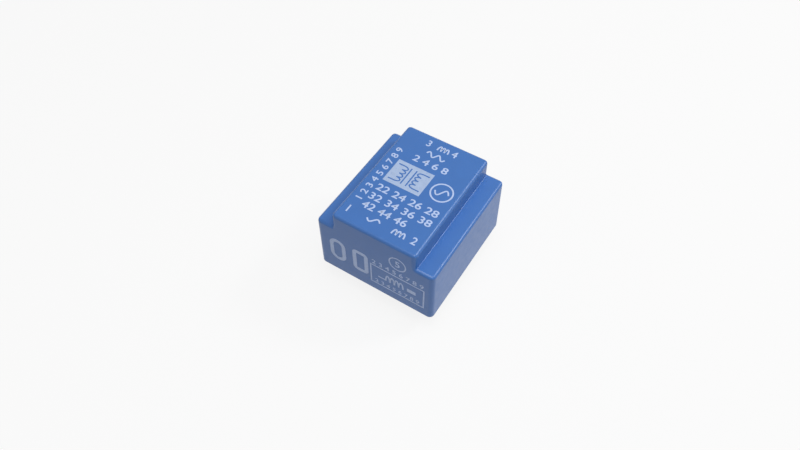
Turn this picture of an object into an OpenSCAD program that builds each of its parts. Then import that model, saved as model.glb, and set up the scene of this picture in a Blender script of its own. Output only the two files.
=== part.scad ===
// Encapsulated transformer for a printed circuit board.
// A moulded cup with a raised plateau holds a laminated core and a two-chamber coil, cast in resin.
// X runs along the pin rows, Y from the primary row at the front to the secondary row at the back.
// The origin is the middle of the board seat, which is the plane of the housing's rim.

/* [Housing] */
// Width across the two ledges
housing_w = 22; // [21.4:0.1:24]
// Depth from the front face to the back face
housing_d = 23.2; // [22.4:0.1:26]
// Height of the plateau above the board seat
housing_h = 14.7; // [14.5:0.1:17]
// Width of each ledge
ledge_w = 3.3; // [2.7:0.1:3.8]
// Depth of each ledge below the plateau
ledge_drop = 3.3; // [2.8:0.1:3.5]
// Thickness of the walls at the rim
wall = 0.9; // [0.7:0.05:1.1]
// Radius of the top edges
top_edge_r = 0.55; // [0.2:0.05:0.8]
// Radius of the upright corners
corner_r = 0.6; // [0.2:0.05:0.9]
// Draft of the outer walls, in degrees
draft_angle = 0.5; // [0:0.1:0.7]

/* [Resin] */
// Depth of the resin's face inside the rim
resin_recess = 0.4; // [0.2:0.05:0.5]

/* [Core] */
// Thickness of one sheet
lamination_t = 0.5; // [0.35:0.05:0.6]
// Width of the centre leg
centre_leg_w = 5; // [4:0.1:6]
// Width of each outer leg
outer_leg_w = 2.5; // [2:0.1:2.8]
// Width of each yoke
yoke_w = 2.5; // [2:0.1:3]
// Distance of the joints from the middle, to the front and to the back by turns
joint_shift = 1; // [0.5:0.1:2]
// Gap between the stack and each side wall
core_side_gap = 0.1; // [0.05:0.05:0.3]
// Gap between each yoke and the end wall
core_end_gap = 0.7; // [0.5:0.1:1]
// Least gap between the stack and the ceiling of the ledges
core_top_gap = 0.3; // [0.1:0.05:0.4]

/* [Bobbin] */
// Thickness of the tube's walls
tube_wall = 0.7; // [0.5:0.05:0.9]
// Gap between the centre leg and the tube
tube_gap = 0.1; // [0.05:0.05:0.2]
// Thickness of the two flanges
flange_t = 0.8; // [0.6:0.05:1]
// Thickness of the partition between the chambers
partition_t = 0.8; // [0.6:0.05:1.2]
// Gap between the flanges and the plateau's side walls
flange_side_gap = 0.1; // [0.05:0.05:0.3]
// Gap between the flanges and the plateau's ceiling
flange_top_gap = 0.2; // [0.1:0.05:0.4]
// Gap between each flange and its yoke
flange_end_gap = 0.2; // [0.1:0.05:0.4]
// Height of the flanges' lower edge above the board seat
flange_foot = 0.8; // [0.6:0.05:1]
// Height of the pin rails
rail_h = 2.1; // [1.8:0.05:2.3]
// Gap between each rail and the end wall
rail_end_gap = 0.5; // [0.3:0.05:0.7]
// Plastic beyond the outermost pin's centre, along the rail
rail_edge = 1.5; // [1:0.1:1.7]
// Plastic beyond the pins' centres, across the rail
rail_lip = 1.45; // [1.2:0.05:1.6]

/* [Windings] */
// Distance of the tape inside the flanges' edge
winding_margin = 0.25; // [0.1:0.05:0.5]
// Thickness of the insulation tape
tape_t = 0.15; // [0.05:0.05:0.25]
// Radius of the tape's long corners
coil_corner_r = 1.5; // [1:0.1:2]

/* [Pins] */
// Diameter of a pin below the resin
pin_d = 0.7; // [0.6:0.05:0.8]
// Side of the squared root that grips the rail
pin_root_w = 0.8; // [0.72:0.01:0.82]
// Length of a pin below the board seat
pin_length = 4; // [3:0.1:5]
// Height of the taper at a pin's tip
pin_taper_h = 0.2; // [0.1:0.05:0.4]
// Diameter of a pin's tip
pin_tip_d = 0.4; // [0.3:0.05:0.5]
// Plastic left in the rail above each pin
pin_skin = 0.4; // [0.2:0.05:0.6]
// Distance between the two primary pins
primary_span = 15; // [14:0.1:16.5]
// Distance between the two secondary pins
secondary_span = 5; // [4:0.1:7.5]

/* [Leads] */
// Diameter of a lead
lead_d = 0.3; // [0.2:0.05:0.4]
// Width of the slots that let the leads out through the flanges
slot_w = 0.9; // [0.6:0.05:1.1]
// Distance of a slot's middle from the flange's side edge
slot_inset = 1.5; // [1.2:0.05:1.8]
// Diameter of a solder joint
solder_d = 1.3; // [1.25:0.05:1.4]
// Height of a solder joint below its rail
solder_h = 0.8; // [0.6:0.05:1]
// Resin that covers the solder joints
solder_cover = 0.9; // [0.6:0.05:1.2]

/* [Print] */
// Thickness of the ink
print_t = 0.04; // [0.02:0.01:0.1]
// Blank strip along the plateau's long edges
print_side_margin = 1.1; // [0.8:0.1:1.5]
// Blank strip at the plateau's back edge
print_back_margin = 1.1; // [0.8:0.1:1.6]
// Blank strip at the plateau's front edge
print_front_margin = 1.7; // [1.2:0.1:2.2]
// Height of a printed sign on the top
sign_h = 1.4; // [1:0.1:1.6]
// Width of a printed sign on the top
sign_w = 0.75; // [0.5:0.05:0.9]
// Width of the lines in the top's symbols
line_w = 0.28; // [0.2:0.02:0.4]
// Height of the two large marks on the front face
mark_h = 5.2; // [4:0.1:6]
// Width of the two large marks
mark_w = 3.2; // [2.5:0.1:3.4]
// Gap between the two large marks
mark_gap = 1.2; // [0.8:0.1:1.6]
// Height of the large marks above the box's lower edge
mark_lift = 0.7; // [0:0.1:1.5]
// Width of the lines in the large marks
mark_line_w = 0.7; // [0.4:0.05:0.9]
// Width of the outlined box on the front face
box_w = 10.2; // [8:0.1:10.6]
// Height of the outlined box on the front face
box_h = 5; // [4:0.1:6]
// Width of the lozenge above the box
lozenge_w = 2.8; // [2:0.1:3]
// Height of the lozenge's middle above the box
lozenge_lift = 2.6; // [2.2:0.1:3]
// Height of the front print's lower edge above the rim
front_print_foot = 2.1; // [1.5:0.1:3]
// Distance of the front print from the housing's corners
front_print_inset = 1.6; // [1.2:0.1:2]

/* [Hidden] */
facets = 32;
$fn = 48;
foot_t = 0.01;
cut = 1;

// Housing
plateau_half = housing_w / 2 - ledge_w;
ledge_z = housing_h - ledge_drop;
cavity_half_w = housing_w / 2 - wall;
cavity_half_d = housing_d / 2 - wall;
ledge_ceiling = ledge_z - wall;
plateau_ceiling = housing_h - wall;

// Core
core_half_w = cavity_half_w - core_side_gap;
core_half_d = cavity_half_d - core_end_gap;
window_half_d = core_half_d - yoke_w;
window_out = core_half_w - outer_leg_w;
rail_foot = resin_recess + solder_cover + solder_h;
stack_foot = rail_foot + rail_h;
lamination_count = floor((ledge_ceiling - core_top_gap - stack_foot) / lamination_t + 0.001);
stack_top = stack_foot + lamination_count * lamination_t;

// Bobbin
bore_half_w = centre_leg_w / 2 + tube_gap;
bore_foot = stack_foot - tube_gap;
bore_top = stack_top + tube_gap;
tube_half_w = bore_half_w + tube_wall;
tube_foot = bore_foot - tube_wall;
tube_top = bore_top + tube_wall;
flange_half_w = min(plateau_half - wall, window_out) - flange_side_gap;
flange_top = plateau_ceiling - flange_top_gap;
flange_out = window_half_d - flange_end_gap;
chamber_end = flange_out - flange_t;
rail_half_w = max(primary_span, secondary_span) / 2 + rail_edge;
rail_out = cavity_half_d - rail_end_gap;

// Pins and leads
row_y = rail_out - rail_lip;
pin_top = stack_foot - pin_skin;
slot_x = flange_half_w - slot_inset;
lead_z = rail_foot - solder_h / 2;
PINS = [
    ["primary", "_1", -primary_span / 2, -row_y],
    ["primary", "_2", primary_span / 2, -row_y],
    ["secondary", "_1", -secondary_span / 2, row_y],
    ["secondary", "_2", secondary_span / 2, row_y]
];

// Print, on a grid of columns and rows
print_columns = 13;
print_rows = 10;
column_pitch = 2 * (plateau_half - print_side_margin) / print_columns;
sign_row_pitch = (housing_d - print_back_margin - print_front_margin) / print_rows;
ring_r = 2 * column_pitch;
ring_x = (column_x(9) + column_x(12)) / 2;
panel_x = (column_x(2) + column_x(7)) / 2;
panel_w = 6.6 * column_pitch;
panel_h = 2.5 * sign_row_pitch;
symbol_y = row_at(4);
upright_signs = 9;
upright_start = 1.6;
upright_step = 0.72;
// Each row of signs: its row in the grid, its first column and its last.
SIGN_ROWS = [
    [0, 4, 4], [0, 6, 8], [1, 5, 7], [2, 4, 9], [6, 2, 12], [7, 2, 12], [8, 2, 9],
    [9, 0, 0], [9, 4, 5], [9, 8, 11]
];

function two_digits(n) = n < 10 ? str("0", n) : str(n);
function lamination_name(end, i) = str(end, "_lamination_", two_digits(i + 1));
function pin_name(pin, piece) = str(pin[0], "_", piece, pin[1]);
function side(v) = v < 0 ? -1 : 1;
function joint_y(i) = i % 2 == 0 ? joint_shift : -joint_shift;
function column_x(c) = -plateau_half + print_side_margin + (c + 0.5) * column_pitch;
function row_at(r) = housing_d / 2 - print_back_margin - (r + 0.5) * sign_row_pitch;

// ---- Shared shapes ----

// A block given by its lowest and highest corners.
module block(low, high) {
    translate(low) cube(high - low);
}

// A ball that reaches exactly r sideways and upwards for all its flat facets. Its widest facets run
// from r * tan(180 / facets) below its middle to the same height above it.
module edge_ball(r) {
    sphere(r = r / cos(180 / facets), $fn = facets);
}

// How far a wall leans inwards at height z.
function lean(z) = (z - foot_t) * tan(draft_angle);

// A block with round top edges and upright corners. Its ends lean by the draft, and so do its sides
// where side_draft is 1.
module moulded_block(half_w, top, side_draft) {
    centre_z = top - top_edge_r;
    ring_z = centre_z + top_edge_r * tan(180 / facets);
    top_x = half_w - top_edge_r - side_draft * lean(ring_z);
    top_y = housing_d / 2 - top_edge_r - lean(ring_z);
    foot_x = half_w - corner_r;
    foot_y = housing_d / 2 - corner_r;
    hull() {
        for (sx = [-1, 1], sy = [-1, 1]) {
            translate([sx * foot_x, sy * foot_y, 0]) cylinder(r = corner_r, h = foot_t, $fn = facets);
            translate([sx * top_x, sy * top_y, centre_z]) edge_ball(top_edge_r);
        }
    }
}

// The room inside the housing, from height z upwards.
module cavity(z) {
    block([-cavity_half_w, -cavity_half_d, z], [cavity_half_w, cavity_half_d, ledge_ceiling]);
    block([wall - plateau_half, -cavity_half_d, z], [plateau_half - wall, cavity_half_d, plateau_ceiling]);
}

// The outline of a coil, drawn inset from the flange's edge.
module coil_outline(inset, corner) {
    x = flange_half_w - inset - corner;
    low = flange_foot + inset + corner;
    high = flange_top - inset - corner;
    steps = 8;
    polygon([
        for (q = [[x, high, 0], [-x, high, 90], [-x, low, 180], [x, low, 270]], s = [0:steps])
            [q[0] + corner * cos(q[2] + 90 * s / steps), q[1] + corner * sin(q[2] + 90 * s / steps)]
    ]);
}

// Carries an XZ outline along Y, from y0 to y1.
module along_y(y0, y1) {
    translate([0, y1, 0]) rotate([90, 0, 0]) linear_extrude(y1 - y0) children();
}

module tube_outline() {
    translate([-tube_half_w, tube_foot]) square([2 * tube_half_w, tube_top - tube_foot]);
}

// The front chamber holds the primary, the rear one the secondary.
module in_chamber(end) {
    mirror([0, end == "front" ? 0 : 1, 0]) along_y(-chamber_end, -partition_t / 2) children();
}

// ---- Housing and resin ----

module housing() {
    color([0.29, 0.48, 0.75]) difference() {
        union() {
            moulded_block(housing_w / 2, ledge_z, 1);
            moulded_block(plateau_half, housing_h, 0);
        }
        cavity(-cut);
    }
}

module core_envelope() {
    difference() {
        block([-core_half_w, -core_half_d, stack_foot], [core_half_w, core_half_d, stack_top]);
        for (s = [-1, 1]) {
            x = s * (centre_leg_w / 2 + window_out) / 2;
            half = (window_out - centre_leg_w / 2) / 2;
            block([x - half, -window_half_d, stack_foot - cut], [x + half, window_half_d, stack_top + cut]);
        }
    }
}

module potting_compound() {
    color([0.16, 0.2, 0.27]) difference() {
        cavity(resin_recess);
        core_envelope();
        block([-bore_half_w, -flange_out, bore_foot], [bore_half_w, flange_out, bore_top]);
        bobbin_body();
        for (end = ["front", "rear"]) in_chamber(end) coil_outline(winding_margin, coil_corner_r);
        for (pin = PINS) {
            pin_root(pin, 0);
            solder_body(pin);
            lead_path(pin);
        }
    }
}

// ---- Core ----

// An E-shaped sheet, its yoke at the front and its legs ending at leg_y.
module e_sheet(leg_y) {
    leg = centre_leg_w / 2;
    linear_extrude(lamination_t) polygon([
        [-core_half_w, -core_half_d], [core_half_w, -core_half_d],
        [core_half_w, leg_y], [window_out, leg_y], [window_out, -window_half_d],
        [leg, -window_half_d], [leg, leg_y], [-leg, leg_y], [-leg, -window_half_d],
        [-window_out, -window_half_d], [-window_out, leg_y], [-core_half_w, leg_y]
    ]);
}

module front_lamination(i) {
    color([0.45, 0.46, 0.48]) translate([0, 0, stack_foot + i * lamination_t]) e_sheet(joint_y(i));
}

module rear_lamination(i) {
    color([0.52, 0.53, 0.55]) translate([0, 0, stack_foot + i * lamination_t])
        mirror([0, 1, 0]) e_sheet(-joint_y(i));
}

// ---- Bobbin ----

// A plate across the tube, from y0 to y1.
module cross_plate(y0, y1) {
    block([-flange_half_w, y0, flange_foot], [flange_half_w, y1, flange_top]);
}

// One end of the bobbin, drawn at the back: a flange with two lead slots, and the pin rail.
module bobbin_end() {
    difference() {
        cross_plate(chamber_end, flange_out);
        for (x = [-slot_x, slot_x]) {
            block(
                [x - slot_w / 2, chamber_end - cut, flange_foot - cut],
                [x + slot_w / 2, flange_out + cut, rail_foot]
            );
        }
    }
    block([-rail_half_w, chamber_end, rail_foot], [rail_half_w, rail_out, stack_foot]);
}

module bobbin_body() {
    block([-tube_half_w, -flange_out, tube_foot], [tube_half_w, flange_out, tube_top]);
    cross_plate(-partition_t / 2, partition_t / 2);
    bobbin_end();
    mirror([0, 1, 0]) bobbin_end();
}

module bobbin() {
    color([0.12, 0.12, 0.13]) difference() {
        bobbin_body();
        block([-bore_half_w, -flange_out - cut, bore_foot], [bore_half_w, flange_out + cut, bore_top]);
        for (pin = PINS) pin_root(pin, 0);
    }
}

// ---- Windings ----

module winding(end) {
    in_chamber(end) difference() {
        coil_outline(winding_margin + tape_t, coil_corner_r - tape_t);
        tube_outline();
    }
}

module tape(end) {
    color([0.87, 0.75, 0.32]) in_chamber(end) difference() {
        coil_outline(winding_margin, coil_corner_r);
        coil_outline(winding_margin + tape_t, coil_corner_r - tape_t);
    }
}

module primary_winding() {
    color([0.72, 0.38, 0.16]) winding("front");
}

module secondary_winding() {
    color([0.78, 0.45, 0.2]) winding("rear");
}

module primary_tape() {
    tape("front");
}

module secondary_tape() {
    tape("rear");
}

// ---- Pins and leads ----

// The squared root of a pin, from height z to its end in the rail.
module pin_root(pin, z) {
    half = pin_root_w / 2;
    block([pin[2] - half, pin[3] - half, z], [pin[2] + half, pin[3] + half, pin_top]);
}

// A root that grips the rail, a round shank and a short taper at the tip.
module pin(pin) {
    color([0.8, 0.8, 0.78]) pin_root(pin, resin_recess);
    color([0.8, 0.8, 0.78]) translate([pin[2], pin[3], 0]) {
        translate([0, 0, pin_taper_h - pin_length])
            cylinder(d = pin_d, h = pin_length - pin_taper_h + resin_recess);
        translate([0, 0, -pin_length]) cylinder(d1 = pin_tip_d, d2 = pin_d, h = pin_taper_h);
    }
}

// The fillet of solder round a pin's root, against the rail above it.
module solder_body(pin) {
    translate([pin[2], pin[3], rail_foot - solder_h]) cylinder(d = solder_d, h = solder_h);
}

module solder_joint(pin) {
    color([0.7, 0.71, 0.72]) difference() {
        solder_body(pin);
        pin_root(pin, 0);
    }
}

// The way of a lead: out of the winding's end, past the flange and along the rail to its pin.
module lead_path(pin) {
    end = side(pin[3]);
    hand = side(pin[2]);
    reach = row_y - chamber_end;
    run = pin[2] - hand * slot_x;
    translate([hand * slot_x, end * chamber_end, lead_z]) rotate([-90 * end, 0, 0])
        cylinder(d = lead_d, h = reach);
    translate([hand * slot_x, end * row_y, lead_z]) sphere(d = lead_d);
    translate([hand * slot_x, end * row_y, lead_z]) rotate([0, 90 * side(run), 0])
        cylinder(d = lead_d, h = abs(run));
}

module lead(pin) {
    color([0.75, 0.42, 0.18]) difference() {
        lead_path(pin);
        solder_body(pin);
    }
}

// ---- Print ----

// A row of printed signs, from column c0 to column c1.
module sign_row(r, c0, c1) {
    for (c = [c0:c1]) translate([column_x(c), row_at(r)]) square([sign_w, sign_h], center = true);
}

module frame_2d(w, h, line) {
    difference() {
        square([w, h], center = true);
        square([w - 2 * line, h - 2 * line], center = true);
    }
}

module ring_2d(r, line) {
    difference() {
        circle(r = r);
        circle(r = r - line);
    }
}

// A filled field with a core and two windings left bare in it.
module panel_2d() {
    turns = 4;
    turn = panel_h / (turns + 2);
    difference() {
        square([panel_w, panel_h], center = true);
        for (s = [-1, 1]) {
            translate([s * line_w, 0]) square([line_w, (turns + 0.6) * turn], center = true);
            for (n = [0:turns - 1]) {
                translate([s * panel_w / 4, (n - (turns - 1) / 2) * turn]) ring_2d(0.45 * turn, line_w);
            }
        }
    }
}

// The top's print: rows of signs, a column of signs up the left, the panel and a ring.
module top_print() {
    color([0.8, 0.86, 0.96]) translate([0, 0, housing_h]) linear_extrude(print_t) {
        for (row = SIGN_ROWS) sign_row(row[0], row[1], row[2]);
        for (n = [0:upright_signs - 1]) {
            translate([column_x(0), row_at(upright_start + upright_step * n)])
                square([sign_h, sign_w], center = true);
        }
        translate([panel_x, symbol_y]) panel_2d();
        translate([ring_x, symbol_y]) {
            ring_2d(ring_r, line_w);
            square([ring_r, line_w], center = true);
        }
    }
}

// Draws on the front face: x to the right, y up the face.
module on_front() {
    translate([0, -housing_d / 2, foot_t]) rotate([90 - draft_angle, 0, 0])
        linear_extrude(print_t) children();
}

// The front's print: two large outlined marks, and an outlined box with a lozenge above it.
module front_print() {
    color([0.62, 0.68, 0.78]) on_front() {
        left = front_print_inset + mark_w / 2 - housing_w / 2;
        box_x = housing_w / 2 - front_print_inset - box_w / 2;
        box_y = front_print_foot + box_h / 2;
        mark_y = front_print_foot + mark_lift + mark_h / 2;
        for (n = [0, 1]) {
            translate([left + n * (mark_w + mark_gap), mark_y]) frame_2d(mark_w, mark_h, mark_line_w);
        }
        translate([box_x, box_y]) {
            frame_2d(box_w, box_h, line_w);
            for (n = [-1, 1]) translate([n * box_w / 5, 0]) square([box_w / 4, box_h / 3], center = true);
        }
        translate([box_x, box_y + box_h / 2 + lozenge_lift]) rotate(45)
            frame_2d(lozenge_w, lozenge_w, line_w);
    }
}

housing();
top_print();
front_print();
potting_compound();
bobbin();
primary_winding();
secondary_winding();
primary_tape();
secondary_tape();
for (i = [0:lamination_count - 1]) {
    front_lamination(i);
    rear_lamination(i);
}
for (p = PINS) {
    pin(p);
    lead(p);
    solder_joint(p);
}
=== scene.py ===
import math

import bmesh
import bpy
from mathutils import Matrix, Vector


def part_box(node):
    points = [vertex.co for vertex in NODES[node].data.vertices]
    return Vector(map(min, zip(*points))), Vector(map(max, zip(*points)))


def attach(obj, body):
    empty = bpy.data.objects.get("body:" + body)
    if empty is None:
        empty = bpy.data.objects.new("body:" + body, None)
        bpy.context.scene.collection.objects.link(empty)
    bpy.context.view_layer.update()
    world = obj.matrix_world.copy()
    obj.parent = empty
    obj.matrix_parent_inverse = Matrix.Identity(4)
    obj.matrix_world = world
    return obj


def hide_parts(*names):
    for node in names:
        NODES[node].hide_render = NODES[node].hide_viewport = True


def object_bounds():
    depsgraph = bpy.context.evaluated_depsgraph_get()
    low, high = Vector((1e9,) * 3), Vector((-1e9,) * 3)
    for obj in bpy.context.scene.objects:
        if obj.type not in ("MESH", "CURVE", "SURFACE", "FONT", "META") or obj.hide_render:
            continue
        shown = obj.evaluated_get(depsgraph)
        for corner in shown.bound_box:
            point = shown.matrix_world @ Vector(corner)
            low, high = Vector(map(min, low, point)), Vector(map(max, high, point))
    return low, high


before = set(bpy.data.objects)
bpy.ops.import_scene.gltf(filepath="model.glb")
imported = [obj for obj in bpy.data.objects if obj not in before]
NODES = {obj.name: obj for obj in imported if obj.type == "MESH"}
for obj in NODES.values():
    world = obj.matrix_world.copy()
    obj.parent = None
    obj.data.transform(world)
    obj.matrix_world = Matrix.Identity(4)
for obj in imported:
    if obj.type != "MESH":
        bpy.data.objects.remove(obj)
cad_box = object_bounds()

MM = 0.001

# ---- Sizes, from the frame where it has them ----

HOUSING_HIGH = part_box("housing")[1]
RESIN_LOW, RESIN_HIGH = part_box("potting_compound")
HALF_W = HOUSING_HIGH.x
HALF_D = HOUSING_HIGH.y
TOP_Z = HOUSING_HIGH.z
WALL = HALF_W - RESIN_HIGH.x
LEDGE_W = 3.3 * MM
LEDGE_DROP = 3.3 * MM
PLATEAU_HALF = HALF_W - LEDGE_W
LEDGE_Z = TOP_Z - LEDGE_DROP
DRAFT = math.radians(0.5)
EDGE_R = 0.54 * MM
CORNER_R = 0.86 * MM
STEP_FOOT_R = 0.16 * MM
RIM_R = 0.08 * MM

# The ink stands this far out of the plastic, and its foot is this far inside it.
INK = 0.015 * MM
INK_SINK = 0.01 * MM
STROKE = 0.26 * MM
BOLD_STROKE = 0.75 * MM
FINE_STROKE = 0.25 * MM
SIGN_H = 1.4 * MM
LETTER_WEIGHT = 0.014
DISC_SIDES = 40
WAVE_STEPS = 20

PIN_R = 0.35 * MM
PIN_TIP_R = 0.2 * MM
PIN_TAPER = 0.2 * MM
PIN_SIDES = 32
PIN_IN_RESIN = 0.5 * MM
TIP_EDGE_R = 0.07 * MM
PIN_ROOT = 0.4 * MM
ROOT_IN_RESIN = 0.05 * MM
ROOT_EDGE_R = 0.05 * MM
PINS = ["primary_pin_1", "primary_pin_2", "secondary_pin_1", "secondary_pin_2"]

MENISCUS_H = 0.26 * MM
MENISCUS_W = 0.55 * MM
RESIN_SKIN = 0.02 * MM
SKIN_THICKNESS = 0.05 * MM
# Slow swells in the poured face: their height, and their pace and start along X and Y.
SWELL = 0.01 * MM
SWELL_PACE = (520, 430)
SWELL_START = (1.3, 0.4)
# The mesh of the skin is finer within these distances of a pin and of the walls.
FINE_AT_PIN = 1.3 * MM
FINE_AT_WALL = 1.0 * MM

FLOOR_GREY = (0.72, 0.72, 0.72, 1)
FLOOR_OWN_WHITE = 0.865
WHITE = (1, 1, 1, 1)


def lean(z):
    """How far the drafted walls lean inwards at height z."""
    return z * math.tan(DRAFT)


# ---- Modelling helpers ----


def deselect_all():
    if bpy.context.object and bpy.context.object.mode != "OBJECT":
        bpy.ops.object.mode_set(mode="OBJECT")
    bpy.ops.object.select_all(action="DESELECT")


def make_active(obj):
    deselect_all()
    obj.select_set(True)
    bpy.context.view_layer.objects.active = obj


def edit(obj):
    """Opens an object in edit mode with all of it selected."""
    make_active(obj)
    bpy.ops.object.mode_set(mode="EDIT")
    bpy.ops.mesh.select_all(action="SELECT")


def add_box(name, low, high):
    """A cube stretched between two corners, its place in its mesh."""
    deselect_all()
    low, high = Vector(low), Vector(high)
    bpy.ops.mesh.primitive_cube_add(size=1, location=(low + high) / 2)
    obj = bpy.context.object
    obj.name = obj.data.name = name
    obj.scale = high - low
    bpy.ops.object.transform_apply(location=True, rotation=False, scale=True)
    return obj


def pick(obj, kind, test):
    """In edit mode, selects the vertices, edges or faces that pass the test, and only those."""
    bpy.ops.mesh.select_mode(type={"verts": "VERT", "edges": "EDGE", "faces": "FACE"}[kind])
    bpy.ops.mesh.select_all(action="DESELECT")
    mesh = bmesh.from_edit_mesh(obj.data)
    for part in getattr(mesh, kind):
        if test(part):
            part.select_set(True)
    mesh.select_flush_mode()
    bmesh.update_edit_mesh(obj.data)


def middle(edge):
    return (edge.verts[0].co + edge.verts[1].co) / 2


def near(a, b, reach=0.02 * MM):
    return abs(a - b) < reach


def apply_modifier(obj, kind, **settings):
    make_active(obj)
    mod = obj.modifiers.new(kind.title(), kind)
    for key, value in settings.items():
        setattr(mod, key, value)
    bpy.ops.object.modifier_apply(modifier=mod.name)


def join(objects):
    deselect_all()
    for obj in objects:
        obj.select_set(True)
    bpy.context.view_layer.objects.active = objects[0]
    bpy.ops.object.join()
    return bpy.context.object


def finish_piece(obj, name, material, angle=30):
    """Names a piece, shades it, gives it its material and fastens it to the body."""
    make_active(obj)
    obj.name = obj.data.name = name
    bpy.ops.object.shade_smooth_by_angle(angle=math.radians(angle))
    obj.data.materials.clear()
    obj.data.materials.append(material)
    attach(obj, "root")
    return obj


# ---- Effects shared by the materials ----


def per_mm(size):
    """The texture scale at which one feature is about this many millimetres across."""
    return 1 / (size * MM)


def add_node(tree, kind, values=None, **choices):
    """Adds a node, sets its own choices and the values of its sockets."""
    node = tree.nodes.new(kind)
    for key, value in choices.items():
        setattr(node, key, value)
    for key, value in (values or {}).items():
        node.inputs[key].default_value = value
    return node


def new_effect(name, inputs, outputs):
    """A node group with named sockets. An input is (name, kind, value), an output (name, kind)."""
    tree = bpy.data.node_groups.new(name, "ShaderNodeTree")
    kinds = {"colour": "NodeSocketColor", "value": "NodeSocketFloat"}
    for label, kind, value in inputs:
        socket = tree.interface.new_socket(label, in_out="INPUT", socket_type=kinds[kind])
        socket.default_value = value
    for label, kind in outputs:
        tree.interface.new_socket(label, in_out="OUTPUT", socket_type=kinds[kind])
    return tree, add_node(tree, "NodeGroupInput"), add_node(tree, "NodeGroupOutput")


def noise_on_object(tree, stretch=(1, 1, 1), detail=3.0):
    """Noise in the object's own coordinates, stretched along its axes."""
    place = add_node(tree, "ShaderNodeTexCoord")
    mapping = add_node(tree, "ShaderNodeMapping", {"Scale": stretch})
    noise = add_node(tree, "ShaderNodeTexNoise", {"Detail": detail})
    tree.links.new(place.outputs["Object"], mapping.inputs["Vector"])
    tree.links.new(mapping.outputs["Vector"], noise.inputs["Vector"])
    return noise


def make_shade_drift():
    """A colour that drifts slowly lighter and darker over the surface."""
    tree, given, put = new_effect(
        "shade_drift",
        [("Colour", "colour", (0.5, 0.5, 0.5, 1)), ("Scale", "value", 300), ("Amount", "value", 0.05)],
        [("Colour", "colour")],
    )
    noise = noise_on_object(tree)
    centred = add_node(tree, "ShaderNodeMath", {1: 0.5}, operation="SUBTRACT")
    swing = add_node(tree, "ShaderNodeMath", operation="MULTIPLY")
    factor = add_node(tree, "ShaderNodeMath", {1: 2.0, 2: 1.0}, operation="MULTIPLY_ADD")
    product = add_node(tree, "ShaderNodeVectorMath", operation="SCALE")
    tree.links.new(given.outputs["Scale"], noise.inputs["Scale"])
    tree.links.new(noise.outputs["Fac"], centred.inputs[0])
    tree.links.new(centred.outputs[0], swing.inputs[0])
    tree.links.new(given.outputs["Amount"], swing.inputs[1])
    tree.links.new(swing.outputs[0], factor.inputs[0])
    tree.links.new(given.outputs["Colour"], product.inputs[0])
    tree.links.new(factor.outputs[0], product.inputs["Scale"])
    tree.links.new(product.outputs["Vector"], put.inputs["Colour"])
    return tree


def make_grain():
    """Fine grain: a height, and a value between two limits that follows a coarser grain."""
    tree, given, put = new_effect(
        "grain",
        [
            ("Fine Scale", "value", 7000),
            ("Coarse Scale", "value", 900),
            ("Low", "value", 0.3),
            ("High", "value", 0.5),
        ],
        [("Height", "value"), ("Value", "value")],
    )
    fine = noise_on_object(tree, detail=2.0)
    coarse = noise_on_object(tree, detail=4.0)
    spread = add_node(tree, "ShaderNodeMapRange", {"From Min": 0.3, "From Max": 0.7})
    tree.links.new(given.outputs["Fine Scale"], fine.inputs["Scale"])
    tree.links.new(given.outputs["Coarse Scale"], coarse.inputs["Scale"])
    tree.links.new(coarse.outputs["Fac"], spread.inputs["Value"])
    tree.links.new(given.outputs["Low"], spread.inputs["To Min"])
    tree.links.new(given.outputs["High"], spread.inputs["To Max"])
    tree.links.new(fine.outputs["Fac"], put.inputs["Height"])
    tree.links.new(spread.outputs["Result"], put.inputs["Value"])
    return tree


def make_flecks():
    """Small scattered flecks: a mask that is 1 inside them."""
    tree, given, put = new_effect(
        "flecks",
        [("Scale", "value", 3000), ("Share", "value", 0.1), ("Softness", "value", 0.06)],
        [("Mask", "value")],
    )
    noise = noise_on_object(tree, detail=2.0)
    edge = add_node(tree, "ShaderNodeMath", {0: 0.75}, operation="SUBTRACT")
    top = add_node(tree, "ShaderNodeMath", operation="ADD")
    step = add_node(tree, "ShaderNodeMapRange", interpolation_type="SMOOTHSTEP")
    tree.links.new(given.outputs["Scale"], noise.inputs["Scale"])
    tree.links.new(given.outputs["Share"], edge.inputs[1])
    tree.links.new(edge.outputs[0], step.inputs["From Min"])
    tree.links.new(edge.outputs[0], top.inputs[0])
    tree.links.new(given.outputs["Softness"], top.inputs[1])
    tree.links.new(top.outputs[0], step.inputs["From Max"])
    tree.links.new(noise.outputs["Fac"], step.inputs["Value"])
    tree.links.new(step.outputs["Result"], put.inputs["Mask"])
    return tree


def make_streaks(name, stretch):
    """Long streaks from drawing or rolling: a mask."""
    tree, given, put = new_effect(name, [("Scale", "value", 2500)], [("Mask", "value")])
    noise = noise_on_object(tree, stretch=stretch, detail=4.0)
    tree.links.new(given.outputs["Scale"], noise.inputs["Scale"])
    tree.links.new(noise.outputs["Fac"], put.inputs["Mask"])
    return tree


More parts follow.
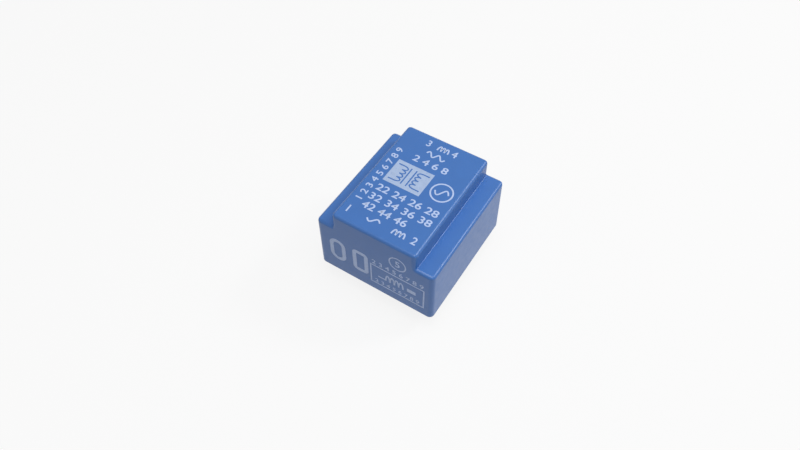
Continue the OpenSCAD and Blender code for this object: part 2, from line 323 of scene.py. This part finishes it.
def make_turns():
    """The round turns of wire wound side by side along Y: a height, and a mask for the painted shade in
    the grooves.
    """
    tree, given, put = new_effect(
        "wound_turns", [("Pitch", "value", 0.0002)], [("Height", "value"), ("Groove Shade", "value")]
    )
    place = add_node(tree, "ShaderNodeTexCoord")
    split = add_node(tree, "ShaderNodeSeparateXYZ")
    count = add_node(tree, "ShaderNodeMath", operation="DIVIDE")
    saw = add_node(tree, "ShaderNodeMath", operation="FRACT")
    arch = add_node(tree, "ShaderNodeMath", {1: math.pi}, operation="MULTIPLY")
    height = add_node(tree, "ShaderNodeMath", operation="SINE")
    # This mask is 1 in the grooves between turns, where the materials paint shade.
    groove_shade = add_node(tree, "ShaderNodeMapRange", {"From Min": 0.45, "From Max": 0.0})
    tree.links.new(place.outputs["Object"], split.inputs[0])
    tree.links.new(split.outputs["Y"], count.inputs[0])
    tree.links.new(given.outputs["Pitch"], count.inputs[1])
    tree.links.new(count.outputs[0], saw.inputs[0])
    tree.links.new(saw.outputs[0], arch.inputs[0])
    tree.links.new(arch.outputs[0], height.inputs[0])
    tree.links.new(height.outputs[0], put.inputs["Height"])
    tree.links.new(height.outputs[0], groove_shade.inputs["Value"])
    tree.links.new(groove_shade.outputs["Result"], put.inputs["Groove Shade"])
    return tree


SHADE_DRIFT = make_shade_drift()
GRAIN = make_grain()
FLECKS = make_flecks()
ROLLED_STREAKS = make_streaks("rolled_streaks", (0.05, 1, 1))
DRAWN_STREAKS = make_streaks("drawn_streaks", (1, 1, 0.06))
TURNS = make_turns()


# ---- Materials ----


def use(tree, effect, values):
    """Places a shared effect in a material with its own values."""
    node = add_node(tree, "ShaderNodeGroup", node_tree=effect)
    for key, value in values.items():
        node.inputs[key].default_value = value
    return node


def new_material(name, **sockets):
    """A material whose Principled shader has these constants."""
    mat = bpy.data.materials.new(name)
    mat.use_nodes = True
    tree = mat.node_tree
    shader = tree.nodes["Principled BSDF"]
    for key, value in sockets.items():
        shader.inputs[key.replace("_", " ")].default_value = value
    return mat, tree, shader


def colour_drift(tree, shader, colour, size, amount):
    drift = use(tree, SHADE_DRIFT, {"Colour": (*colour, 1), "Scale": per_mm(size), "Amount": amount})
    tree.links.new(drift.outputs["Colour"], shader.inputs["Base Color"])
    return drift


def surface_grain(tree, shader, fine, coarse, gloss, depth):
    """Roughness between two limits, and a fine bump of the given depth in millimetres."""
    grain = use(
        tree,
        GRAIN,
        {"Fine Scale": per_mm(fine), "Coarse Scale": per_mm(coarse), "Low": gloss[0], "High": gloss[1]},
    )
    bump = add_node(tree, "ShaderNodeBump", {"Strength": 1.0, "Distance": depth * MM})
    tree.links.new(grain.outputs["Value"], shader.inputs["Roughness"])
    tree.links.new(grain.outputs["Height"], bump.inputs["Height"])
    tree.links.new(bump.outputs["Normal"], shader.inputs["Normal"])
    return bump


def blend_colour(tree, shader, mask, base, over):
    """Lays a colour over the base colour where the mask is 1."""
    mix = add_node(tree, "ShaderNodeMix", data_type="RGBA")
    mix.inputs[7].default_value = (*over, 1)
    tree.links.new(mask, mix.inputs[0])
    tree.links.new(base, mix.inputs[6])
    tree.links.new(mix.outputs[2], shader.inputs["Base Color"])


def make_housing_plastic():
    mat, tree, shader = new_material("housing_plastic")
    colour_drift(tree, shader, (0.041, 0.152, 0.45), 3.0, 0.05)
    surface_grain(tree, shader, 0.16, 1.2, (0.3, 0.38), 0.004)
    return mat


def make_ink(name, colour, pinholes):
    """Pale ink, a little uneven, with the plastic showing through its pinholes."""
    mat, tree, shader = new_material(name)
    drift = colour_drift(tree, shader, colour, 0.6, 0.14)
    holes = use(tree, FLECKS, {"Scale": per_mm(0.22), "Share": pinholes, "Softness": 0.08})
    blend_colour(tree, shader, holes.outputs["Mask"], drift.outputs["Colour"], (0.2, 0.33, 0.62))
    surface_grain(tree, shader, 0.1, 0.8, (0.5, 0.6), 0.003)
    return mat


def make_potting_resin():
    """Cast resin with slow waves and small craters where bubbles rose."""
    mat, tree, shader = new_material("potting_resin")
    colour_drift(tree, shader, (0.012, 0.016, 0.024), 4.0, 0.25)
    fine = surface_grain(tree, shader, 0.9, 3.5, (0.16, 0.3), 0.02)
    craters = use(tree, FLECKS, {"Scale": per_mm(0.7), "Share": 0.03, "Softness": 0.1})
    dents = add_node(tree, "ShaderNodeBump", {"Strength": 1.0, "Distance": 0.06 * MM}, invert=True)
    tree.links.new(craters.outputs["Mask"], dents.inputs["Height"])
    tree.links.new(fine.outputs["Normal"], dents.inputs["Normal"])
    tree.links.new(dents.outputs["Normal"], shader.inputs["Normal"])
    return mat


def make_bobbin_plastic():
    """Black plastic with the pale flecks of its glass filling."""
    mat, tree, shader = new_material("bobbin_plastic")
    drift = colour_drift(tree, shader, (0.018, 0.018, 0.02), 2.0, 0.2)
    fibres = use(tree, FLECKS, {"Scale": per_mm(0.12), "Share": 0.08, "Softness": 0.1})
    blend_colour(tree, shader, fibres.outputs["Mask"], drift.outputs["Colour"], (0.07, 0.07, 0.075))
    surface_grain(tree, shader, 0.12, 1.0, (0.42, 0.58), 0.006)
    return mat


def make_enamelled_wire(name, colour, pitch):
    """Enamelled copper, wound in round turns of the given pitch with painted shade in their grooves, or
    plain where it is None.
    """
    mat, tree, shader = new_material(name, Metallic=0.85, Coat_Weight=0.6, Coat_Roughness=0.12)
    drift = colour_drift(tree, shader, colour, 1.5, 0.12)
    grain = surface_grain(tree, shader, 0.08, 0.7, (0.26, 0.4), 0.002)
    if pitch:
        turns = use(tree, TURNS, {"Pitch": pitch * MM})
        rounds = add_node(tree, "ShaderNodeBump", {"Strength": 1.0, "Distance": 0.3 * pitch * MM})
        # The grooves between turns are painted a darker copper: painted shade.
        blend_colour(tree, shader, turns.outputs["Groove Shade"], drift.outputs["Colour"], (0.16, 0.05, 0.02))
        tree.links.new(turns.outputs["Height"], rounds.inputs["Height"])
        tree.links.new(grain.outputs["Normal"], rounds.inputs["Normal"])
        tree.links.new(rounds.outputs["Normal"], shader.inputs["Normal"])
    return mat


def make_insulation_tape():
    """Glossy amber film over the turns, which print through it a little as bumps and as painted shade
    in their grooves.
    """
    mat, tree, shader = new_material("insulation_tape", Coat_Weight=0.4, Coat_Roughness=0.08)
    drift = colour_drift(tree, shader, (0.7, 0.43, 0.05), 2.5, 0.1)
    grain = surface_grain(tree, shader, 0.4, 2.0, (0.2, 0.32), 0.004)
    turns = use(tree, TURNS, {"Pitch": 0.24 * MM})
    rounds = add_node(tree, "ShaderNodeBump", {"Strength": 0.5, "Distance": 0.02 * MM})
    # The grooves under the film are painted a darker amber: painted shade.
    blend_colour(tree, shader, turns.outputs["Groove Shade"], drift.outputs["Colour"], (0.58, 0.31, 0.03))
    tree.links.new(turns.outputs["Height"], rounds.inputs["Height"])
    tree.links.new(grain.outputs["Normal"], rounds.inputs["Normal"])
    tree.links.new(rounds.outputs["Normal"], shader.inputs["Normal"])
    return mat


def make_core_steel():
    """Rolled sheet steel with a thin blue-brown scale between its streaks."""
    mat, tree, shader = new_material("core_steel", Metallic=1.0)
    drift = colour_drift(tree, shader, (0.4, 0.41, 0.43), 2.5, 0.12)
    streaks = use(tree, ROLLED_STREAKS, {"Scale": per_mm(0.35)})
    blend_colour(tree, shader, streaks.outputs["Mask"], drift.outputs["Colour"], (0.25, 0.24, 0.27))
    grain = surface_grain(tree, shader, 0.1, 1.4, (0.34, 0.52), 0.003)
    lines = add_node(tree, "ShaderNodeBump", {"Strength": 0.6, "Distance": 0.004 * MM})
    tree.links.new(streaks.outputs["Mask"], lines.inputs["Height"])
    tree.links.new(grain.outputs["Normal"], lines.inputs["Normal"])
    tree.links.new(lines.outputs["Normal"], shader.inputs["Normal"])
    return mat


def make_tin(name, colour, gloss, size):
    """Tin that was dipped and ran: soft waves along the drawn wire."""
    mat, tree, shader = new_material(name, Metallic=1.0)
    drift = colour_drift(tree, shader, colour, 0.8, 0.08)
    streaks = use(tree, DRAWN_STREAKS, {"Scale": per_mm(size)})
    blend_colour(tree, shader, streaks.outputs["Mask"], drift.outputs["Colour"], (0.56, 0.55, 0.53))
    grain = surface_grain(tree, shader, 0.3, 0.6, gloss, 0.004)
    runs = add_node(tree, "ShaderNodeBump", {"Strength": 0.8, "Distance": 0.008 * MM})
    tree.links.new(streaks.outputs["Mask"], runs.inputs["Height"])
    tree.links.new(grain.outputs["Normal"], runs.inputs["Normal"])
    tree.links.new(runs.outputs["Normal"], shader.inputs["Normal"])
    return mat


housing_plastic = make_housing_plastic()
print_ink = make_ink("print_ink", (0.46, 0.57, 0.83), 0.08)
panel_ink = make_ink("panel_ink", (0.375, 0.48, 0.685), 0.13)
potting_resin = make_potting_resin()
bobbin_plastic = make_bobbin_plastic()
fine_wire = make_enamelled_wire("fine_wire", (0.62, 0.22, 0.07), 0.12)
thick_wire = make_enamelled_wire("thick_wire", (0.7, 0.29, 0.1), 0.24)
lead_wire = make_enamelled_wire("lead_wire", (0.7, 0.29, 0.1), None)
insulation_tape = make_insulation_tape()
core_steel = make_core_steel()
tinned_pin = make_tin("tinned_pin", (0.78, 0.77, 0.74), (0.2, 0.36), 0.4)
solder = make_tin("solder", (0.68, 0.69, 0.7), (0.14, 0.28), 0.7)

# ---- Housing ----


def stepped_box(name, half_w, half_d, foot, ledge_z, plateau_half, top_z):
    """A box whose middle, between the two ledges, is extruded up to the plateau."""
    obj = add_box(name, (-half_w, -half_d, foot), (half_w, half_d, ledge_z))
    bpy.ops.object.mode_set(mode="EDIT")
    for x in (-plateau_half, plateau_half):
        bpy.ops.mesh.select_all(action="SELECT")
        bpy.ops.mesh.bisect(plane_co=(x, 0, 0), plane_no=(1, 0, 0))
    pick(obj, "faces", lambda f: f.normal.z > 0.9 and abs(f.calc_center_median().x) < plateau_half)
    lift = top_z - ledge_z
    bpy.ops.mesh.extrude_region_move(TRANSFORM_OT_translate={"value": (0, 0, lift)})
    return obj


def draft_walls(obj):
    """Leans the end walls inwards over their full height, and the side walls up to the ledges."""
    for z in (LEDGE_Z, TOP_Z):
        pick(obj, "verts", lambda v: near(v.co.z, z))
        factor = (HALF_D - lean(z)) / HALF_D
        bpy.ops.transform.resize(value=(1, factor, 1), center_override=(0, 0, 0))
    pick(obj, "verts", lambda v: near(v.co.z, LEDGE_Z) and near(abs(v.co.x), HALF_W))
    bpy.ops.transform.resize(value=((HALF_W - lean(LEDGE_Z)) / HALF_W, 1, 1), center_override=(0, 0, 0))


def is_step_foot(edge):
    """True for the two inner corners where the plateau rises from a ledge."""
    m = middle(edge)
    along_y = abs(edge.verts[0].co.y - edge.verts[1].co.y) > HALF_D
    return along_y and near(abs(m.x), PLATEAU_HALF) and near(m.z, LEDGE_Z)


def on_rim(edge):
    return all(near(v.co.z, 0) for v in edge.verts)


def round_edges(obj):
    """Rounds the upright corners by CORNER_R and the top edges by EDGE_R, in one pass."""
    make_active(obj)
    weights = obj.data.attributes.new("bevel_weight_edge", "FLOAT", "EDGE")
    verts = obj.data.vertices
    for edge, weight in zip(obj.data.edges, weights.data):
        a, b = (verts[i].co for i in edge.vertices)
        upright = abs(a.z - b.z) > MM and near(a.x, b.x, 0.2 * MM)
        foot = abs(a.y - b.y) > HALF_D and max(a.z, b.z) < TOP_Z - MM and abs(a.x) < HALF_W - MM
        rim = near(a.z, 0) and near(b.z, 0)
        if rim or foot:
            weight.value = 0
        elif upright:
            weight.value = 1
        else:
            weight.value = EDGE_R / CORNER_R
    apply_modifier(
        obj, "BEVEL", width=CORNER_R, segments=8, limit_method="WEIGHT", use_clamp_overlap=False
    )


def make_housing():
    obj = stepped_box("housing_shell", HALF_W, HALF_D, 0, LEDGE_Z, PLATEAU_HALF, TOP_Z)
    draft_walls(obj)
    bpy.ops.mesh.select_all(action="SELECT")
    bpy.ops.mesh.dissolve_limited(angle_limit=math.radians(0.1))
    pick(obj, "edges", is_step_foot)
    bpy.ops.mesh.bevel(offset=STEP_FOOT_R, segments=3, affect="EDGES", clamp_overlap=False)
    bpy.ops.object.mode_set(mode="OBJECT")
    round_edges(obj)
    edit(obj)
    pick(obj, "edges", on_rim)
    bpy.ops.mesh.bevel(offset=RIM_R, segments=2, affect="EDGES", clamp_overlap=False)

    room = stepped_box(
        "housing_room",
        HALF_W - WALL,
        HALF_D - WALL,
        -MM,
        LEDGE_Z - WALL,
        PLATEAU_HALF - WALL,
        TOP_Z - WALL,
    )
    apply_modifier(obj, "BOOLEAN", operation="DIFFERENCE", object=room, solver="EXACT")
    bpy.data.objects.remove(room)
    finish_piece(obj, "housing_shell", housing_plastic)
    apply_modifier(obj, "WEIGHTED_NORMAL", keep_sharp=True)
    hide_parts("housing")


# ---- Print: flat signs, drawn on the plane and given the ink's thickness at the end ----


def corners(obj):
    """The lowest and highest corner of a mesh."""
    places = [v.co for v in obj.data.vertices]
    low = Vector([min(p[i] for p in places) for i in range(3)])
    high = Vector([max(p[i] for p in places) for i in range(3)])
    return low, high


def fit_flat(obj, x, y, width, height):
    """Stretches a flat sign to a size and sets its middle at a place."""
    make_active(obj)
    low, high = corners(obj)
    obj.scale = (width / (high.x - low.x), height / (high.y - low.y), 1)
    bpy.ops.object.transform_apply(location=False, rotation=False, scale=True)
    low, high = corners(obj)
    obj.location = (x - (low.x + high.x) / 2, y - (low.y + high.y) / 2, 0)
    bpy.ops.object.transform_apply(location=True, rotation=False, scale=False)
    return obj


def numbers(text, left, right, y, height=SIGN_H, upright=False):
    """A row of plain numbers between two places, or one that reads upwards along X = y.

    Without a right end it has its natural width, and left is its middle.
    """
    deselect_all()
    bpy.ops.object.text_add()
    obj = bpy.context.object
    obj.data.body = text
    obj.data.offset = LETTER_WEIGHT
    obj.data.resolution_u = 4
    bpy.ops.object.convert(target="MESH")
    obj = bpy.context.object
    if upright:
        obj.rotation_euler.z = math.radians(90)
        bpy.ops.object.transform_apply(location=False, rotation=True, scale=False)
        return fit_flat(obj, y, (left + right) / 2, height, right - left)
    if right is None:
        low, high = corners(obj)
        half = (high.x - low.x) / (high.y - low.y) * height / 2
        left, right = left - half, left + half
    return fit_flat(obj, (left + right) / 2, y, right - left, height)


def hollow(obj, line):
    """Leaves only a border of a flat face, one line wide."""
    edit(obj)
    bpy.ops.mesh.select_mode(type="FACE")
    bpy.ops.mesh.select_all(action="SELECT")
    bpy.ops.mesh.inset(thickness=line)
    bpy.ops.mesh.delete(type="FACE")
    bpy.ops.object.mode_set(mode="OBJECT")
    return obj


def plate(x, y, width, height, corner=0):
    """A flat rectangle, with round corners where a corner radius is given."""
    deselect_all()
    bpy.ops.mesh.primitive_plane_add(size=1, location=(x, y, 0))
    obj = bpy.context.object
    obj.scale = (width, height, 1)
    bpy.ops.object.transform_apply(location=True, rotation=False, scale=True)
    if corner:
        edit(obj)
        bpy.ops.mesh.bevel(offset=corner, segments=8, affect="VERTICES")
        bpy.ops.object.mode_set(mode="OBJECT")
    return obj


def disc(x, y, half_w, half_h):
    """A flat disc, round or oval."""
    deselect_all()
    bpy.ops.mesh.primitive_circle_add(
        vertices=DISC_SIDES, radius=1, fill_type="NGON", location=(x, y, 0)
    )
    obj = bpy.context.object
    obj.scale = (half_w, half_h, 1)
    bpy.ops.object.transform_apply(location=True, rotation=False, scale=True)
    return obj


def outline(x, y, width, height, corner, line):
    return hollow(plate(x, y, width, height, corner), line)


def ring(x, y, half_w, half_h, line=STROKE):
    return hollow(disc(x, y, half_w, half_h), line)


def coil(x, y, width, height, turns, line=STROKE, turn=0):
    """The sign for a winding: a row of half rings, turned about its middle."""
    pitch = (width - line) / turns
    arches = []
    for n in range(turns):
        place = x - width / 2 + line / 2 + (n + 0.5) * pitch
        arch = ring(place, y - height / 2, (pitch + line) / 2, height, line)
        edit(arch)
        bpy.ops.mesh.bisect(plane_co=(0, y - height / 2, 0), plane_no=(0, 1, 0), clear_inner=True)
        for end, side in ((0, -1), (turns - 1, 1)):
            if n != end:
                bpy.ops.mesh.select_all(action="SELECT")
                bpy.ops.mesh.bisect(
                    plane_co=(place + side * pitch / 2, 0, 0), plane_no=(side, 0, 0), clear_outer=True
                )
        bpy.ops.object.mode_set(mode="OBJECT")
        arches.append(arch)
    obj = join(arches)
    edit(obj)
    bpy.ops.transform.rotate(value=-turn, orient_axis="Z", center_override=(x, y, 0))
    bpy.ops.object.mode_set(mode="OBJECT")
    return obj


def wave(x, y, width, height, periods):
    """The sign for alternating current: a sine line of even width."""
    steps = WAVE_STEPS * periods
    deselect_all()
    bpy.ops.mesh.primitive_grid_add(x_subdivisions=steps, y_subdivisions=1, size=1)
    obj = bpy.context.object
    swing = (height - STROKE) / 2
    pace = 2 * math.pi * periods / width
    for v in obj.data.vertices:
        along = v.co.x * width
        slope = swing * pace * math.cos(pace * along)
        across = Vector((-slope, 1)).normalized() * v.co.y * STROKE
        v.co = (x + along + across.x, y + swing * math.sin(pace * along) + across.y, 0)
    return obj


def ink_solid(parts, foot=-INK_SINK, top=INK):
    """Joins flat signs and gives them the thickness of the ink."""
    obj = join(parts)
    edit(obj)
    bpy.ops.mesh.remove_doubles(threshold=0.0005 * MM)
    bpy.ops.transform.translate(value=(0, 0, foot))
    bpy.ops.mesh.extrude_region_move(TRANSFORM_OT_translate={"value": (0, 0, top - foot)})
    bpy.ops.mesh.select_all(action="SELECT")
    bpy.ops.mesh.normals_make_consistent(inside=False)
    bpy.ops.object.mode_set(mode="OBJECT")
    return obj


def winding_panel(x, y, width, height):
    """A field of ink with two windings and a core left bare in it."""
    line = 0.9 * STROKE
    tall = 0.72 * height
    bulge = 0.15 * width
    core_x = 0.07 * width
    foot_x = core_x + 0.05 * width + bulge
    end_x = 0.43 * width
    bare = [plate(x + side * core_x, y, line, tall) for side in (-1, 1)]
    for side in (-1, 1):
        middle_x = x + side * (foot_x - bulge / 2)
        bare.append(coil(middle_x, y, tall, bulge, 4, line, turn=side * math.pi / 2))
        for end in (-1, 1):
            lead_x = x + side * (foot_x + end_x - 0.2 * line) / 2
            bare.append(plate(lead_x, y + end * (tall - line) / 2, end_x - foot_x + 0.2 * line, line))
    cutter = ink_solid(bare, -0.1 * MM, 0.1 * MM)
    field = ink_solid([plate(x, y, width, height)])
    apply_modifier(
        field, "BOOLEAN", operation="DIFFERENCE", object=cutter, solver="EXACT", use_self=True
    )
    bpy.data.objects.remove(cutter)
    return field


def raise_to_top(obj):
    edit(obj)
    bpy.ops.transform.translate(value=(0, 0, TOP_Z))
    bpy.ops.object.mode_set(mode="OBJECT")
    return obj


def make_top_print():
    signs = [
        numbers("3", -2.5 * MM, None, 9.5 * MM),
        coil(0.3 * MM, 9.45 * MM, 2.2 * MM, 1.1 * MM, 3),
        numbers("4", 2.35 * MM, None, 9.5 * MM),
        wave(-0.1 * MM, 7.5 * MM, 3.4 * MM, 1.2 * MM, 2),
        numbers("2 4 6 8", -3.1 * MM, 3.3 * MM, 5.55 * MM),
        ring(4.65 * MM, 1.35 * MM, 1.95 * MM, 1.95 * MM),
        wave(4.65 * MM, 1.35 * MM, 2.4 * MM, 1.7 * MM, 1),
        numbers("22 24 26 28", -4.8 * MM, 6.5 * MM, -2.8 * MM),
        numbers("32 34 36 38", -4.8 * MM, 6.5 * MM, -4.9 * MM),
        numbers("42 44 46", -4.8 * MM, 3.3 * MM, -6.9 * MM),
        numbers("1", -6.1 * MM, None, -8.9 * MM),
        wave(-1.45 * MM, -8.9 * MM, 2.3 * MM, 1.15 * MM, 1),
        coil(3.2 * MM, -8.95 * MM, 2.4 * MM, 1.1 * MM, 3),
        numbers("2", 5.9 * MM, None, -8.9 * MM),
        numbers("1 2 3 4 5 6 7 8 9", -6.4 * MM, 6.1 * MM, -5.95 * MM, 1.25 * MM, upright=True),
    ]
    top = raise_to_top(ink_solid(signs))
    finish_piece(top, "top_signs", print_ink)
    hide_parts("top_print")
    panel = raise_to_top(winding_panel(-1.48 * MM, 1.35 * MM, 6.75 * MM, 5.1 * MM))
    finish_piece(panel, "top_panel", panel_ink)


def make_front_print():
    """Drawn flat with Y up the face, then stood up along the leaning front wall."""
    signs = [
        outline(-7.05 * MM, 5.85 * MM, 3.1 * MM, 5.5 * MM, 1.5 * MM, BOLD_STROKE),
        outline(-2.6 * MM, 5.85 * MM, 3.0 * MM, 5.5 * MM, 0.9 * MM, BOLD_STROKE),
        outline(4.4 * MM, 4.55 * MM, 10.2 * MM, 5.1 * MM, 0, FINE_STROKE),
        numbers("2 3 4 5 6 7 8 9", -0.3 * MM, 9.3 * MM, 7.95 * MM, 1.1 * MM),
        numbers("2 3 4 5 6 7 8 9", 0.2 * MM, 8.6 * MM, 2.95 * MM, 0.95 * MM),
        ring(4.5 * MM, 10.55 * MM, 1.6 * MM, 1.6 * MM, 0.22 * MM),
        numbers("5", 4.5 * MM, None, 10.55 * MM, 1.5 * MM),
        coil(3.9 * MM, 5.1 * MM, 3.6 * MM, 1.7 * MM, 4, 0.3 * MM),
        plate(1.45 * MM, 4.4 * MM, 1.3 * MM, 0.3 * MM),
        plate(7.1 * MM, 4.9 * MM, 1.6 * MM, 0.9 * MM),
    ]
    obj = ink_solid(signs)
    obj.rotation_euler.x = math.radians(90) - DRAFT
    obj.location.y = -HALF_D
    bpy.ops.object.transform_apply(location=True, rotation=True, scale=False)
    finish_piece(obj, "front_signs", print_ink)
    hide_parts("front_print")


# ---- Pins and resin ----


def is_level(edge):
    return near(edge.verts[0].co.z, edge.verts[1].co.z)


def make_pin(node):
    """A squared root in the rail, a round shank and a tip with soft edges."""
    low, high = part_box(node)
    x = (low.x + high.x) / 2
    y = (low.y + high.y) / 2
    root = add_box(
        "root",
        (x - PIN_ROOT, y - PIN_ROOT, RESIN_LOW.z + ROOT_IN_RESIN),
        (x + PIN_ROOT, y + PIN_ROOT, high.z),
    )
    edit(root)
    bpy.ops.mesh.bevel(offset=ROOT_EDGE_R, segments=2, affect="EDGES")
    bpy.ops.object.mode_set(mode="OBJECT")

    taper_z = low.z + PIN_TAPER
    top_z = RESIN_LOW.z + PIN_IN_RESIN
    deselect_all()
    bpy.ops.mesh.primitive_cylinder_add(
        vertices=PIN_SIDES,
        radius=PIN_R,
        depth=top_z - taper_z,
        location=(x, y, (top_z + taper_z) / 2),
    )
    shank = bpy.context.object
    bpy.ops.object.transform_apply(location=True, rotation=False, scale=False)
    edit(shank)
    pick(shank, "faces", lambda f: f.normal.z < -0.9)
    bpy.ops.mesh.extrude_region_move(TRANSFORM_OT_translate={"value": (0, 0, -PIN_TAPER)})
    tip = PIN_TIP_R / PIN_R
    bpy.ops.transform.resize(value=(tip, tip, 1), center_override=(x, y, low.z))
    pick(shank, "edges", lambda e: is_level(e) and middle(e).z < taper_z + 0.01 * MM)
    bpy.ops.mesh.bevel(offset=TIP_EDGE_R, segments=4, affect="EDGES")
    bpy.ops.object.mode_set(mode="OBJECT")

    obj = join([root, shank])
    finish_piece(obj, node + "_wire", tinned_pin, angle=50)
    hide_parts(node)


def pin_places():
    boxes = [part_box(node) for node in PINS]
    return [Vector(((low.x + high.x) / 2, (low.y + high.y) / 2)) for low, high in boxes]


def to_wall(place, half):
    """The distance from a place to the nearest side of a box with these half sizes."""
    return min(half.x - abs(place.x), half.y - abs(place.y))


def to_pin(place, pins):
    """The distance from a place to the axis of the nearest pin."""
    return min((place.xy - pin).length for pin in pins)


def rise(distance):
    """How far the resin creeps up a surface at this distance from it."""
    return MENISCUS_H * max(0.0, 1 - distance / MENISCUS_W) ** 2


def make_resin_skin():
    """The poured face of the resin, which creeps up the walls and the pins."""
    pins = pin_places()
    half = Vector((RESIN_HIGH.x, RESIN_HIGH.y))
    deselect_all()
    bpy.ops.mesh.primitive_grid_add(x_subdivisions=64, y_subdivisions=68, size=2)
    obj = bpy.context.object
    obj.scale = (half.x, half.y, 1)
    bpy.ops.object.transform_apply(location=False, rotation=False, scale=True)
    edit(obj)
    pick(obj, "faces", lambda f: to_pin(f.calc_center_median(), pins) < FINE_AT_PIN)
    bpy.ops.mesh.subdivide(number_cuts=3)
    pick(obj, "faces", lambda f: to_wall(f.calc_center_median(), half) < FINE_AT_WALL)
    bpy.ops.mesh.subdivide(number_cuts=1)
    bpy.ops.object.mode_set(mode="OBJECT")
    for v in obj.data.vertices:
        creep = max(rise(max(to_wall(v.co, half), 0)), rise(max(to_pin(v.co, pins) - PIN_R, 0)))
        swell_x = math.sin(v.co.x * SWELL_PACE[0] + SWELL_START[0])
        swell_y = math.sin(v.co.y * SWELL_PACE[1] + SWELL_START[1])
        v.co.z = RESIN_LOW.z - RESIN_SKIN - swell_x * swell_y * SWELL - creep
    edit(obj)
    bpy.ops.mesh.extrude_region_move(TRANSFORM_OT_translate={"value": (0, 0, SKIN_THICKNESS)})
    bpy.ops.mesh.select_all(action="SELECT")
    bpy.ops.mesh.normals_make_consistent(inside=False)
    bpy.ops.object.mode_set(mode="OBJECT")
    finish_piece(obj, "resin_skin", potting_resin, angle=60)


make_housing()
make_top_print()
make_front_print()
for pin_node in PINS:
    make_pin(pin_node)
make_resin_skin()

# ---- Materials of the pieces that keep their CAD shape ----

FINISHES = [
    ("potting_compound", potting_resin),
    ("bobbin", bobbin_plastic),
    ("primary_winding", fine_wire),
    ("secondary_winding", thick_wire),
    ("tape", insulation_tape),
    ("lamination", core_steel),
    ("lead", lead_wire),
    ("solder", solder),
]


def dress(node):
    """Gives a CAD piece the finish that its name asks for."""
    for word, material in FINISHES:
        if word in node:
            for slot in NODES[node].material_slots:
                slot.material = material
            return


for node_name in NODES:
    dress(node_name)

# ---- Stage, lights and camera ----


def make_camera():
    data = bpy.data.cameras.new("camera")
    obj = bpy.data.objects.new("camera", data)
    bpy.context.scene.collection.objects.link(obj)
    data.sensor_width = 36
    data.lens = 31.28
    data.clip_start = 0.01
    right = Vector((0.84396, 0.53636, -0.0073))
    up = Vector((-0.42524, 0.67728, 0.60039))
    back = Vector((0.32697, -0.5036, 0.79967))
    turn = Matrix((right, up, back)).transposed().to_4x4()
    obj.matrix_world = Matrix.Translation(Vector((37.067, -60.766, 99.346)) * MM) @ turn
    bpy.context.scene.camera = obj


def seen_or_mirrored(tree):
    """1 for what the camera sees directly, in a reflection or through glass."""
    path = add_node(tree, "ShaderNodeLightPath")
    mirrored = add_node(tree, "ShaderNodeMath", operation="MAXIMUM")
    total = add_node(tree, "ShaderNodeMath", operation="MAXIMUM")
    tree.links.new(path.outputs["Is Glossy Ray"], mirrored.inputs[0])
    tree.links.new(path.outputs["Is Transmission Ray"], mirrored.inputs[1])
    tree.links.new(path.outputs["Is Camera Ray"], total.inputs[0])
    tree.links.new(mirrored.outputs[0], total.inputs[1])
    return total.outputs[0]


def make_floor():
    """A pale floor. Most of its white is its own, so that the shadow on it stays faint."""
    deselect_all()
    bpy.ops.mesh.primitive_plane_add(size=4, location=(0, 0, cad_box[0].z))
    floor = bpy.context.object
    floor.name = "floor"
    mat, tree, shader = new_material("floor", Roughness=0.9)
    shader.inputs["Base Color"].default_value = FLOOR_GREY
    shader.inputs["Specular IOR Level"].default_value = 0.0
    glow = add_node(tree, "ShaderNodeEmission", {"Color": WHITE, "Strength": 1.0})
    share = add_node(tree, "ShaderNodeMath", {1: FLOOR_OWN_WHITE}, operation="MULTIPLY")
    mix = add_node(tree, "ShaderNodeMixShader")
    tree.links.new(seen_or_mirrored(tree), share.inputs[0])
    tree.links.new(share.outputs[0], mix.inputs[0])
    tree.links.new(shader.outputs[0], mix.inputs[1])
    tree.links.new(glow.outputs[0], mix.inputs[2])
    tree.links.new(mix.outputs[0], tree.nodes["Material Output"].inputs["Surface"])
    floor.data.materials.append(mat)


def make_world(strength):
    """Even light of the given strength, with a plain white background."""
    world = bpy.data.worlds.new("studio")
    bpy.context.scene.world = world
    world.use_nodes = True
    tree = world.node_tree
    lit = tree.nodes["Background"]
    lit.inputs["Color"].default_value = WHITE
    lit.inputs["Strength"].default_value = strength
    white = add_node(tree, "ShaderNodeBackground", {"Color": WHITE, "Strength": 1.0})
    mix = add_node(tree, "ShaderNodeMixShader")
    tree.links.new(seen_or_mirrored(tree), mix.inputs[0])
    tree.links.new(lit.outputs[0], mix.inputs[1])
    tree.links.new(white.outputs[0], mix.inputs[2])
    tree.links.new(mix.outputs[0], tree.nodes["World Output"].inputs["Surface"])


def add_area(name, place, size, power):
    """A soft square lamp aimed at the middle of the part."""
    data = bpy.data.lights.new(name, "AREA")
    data.shape = "SQUARE"
    data.size = size
    data.energy = power
    obj = bpy.data.objects.new(name, data)
    bpy.context.scene.collection.objects.link(obj)
    obj.location = place
    aim = Vector((0, 0, TOP_Z / 2)) - Vector(place)
    obj.rotation_euler = aim.to_track_quat("-Z", "Y").to_euler()


make_camera()
make_floor()
make_world(0.16)
add_area("overhead", (0.07, -0.04, 0.44), 0.3, 1.35)
add_area("edge_light", (0.2, 0.2, 0.28), 0.08, 0.5)
bpy.context.scene.view_settings.view_transform = "Standard"
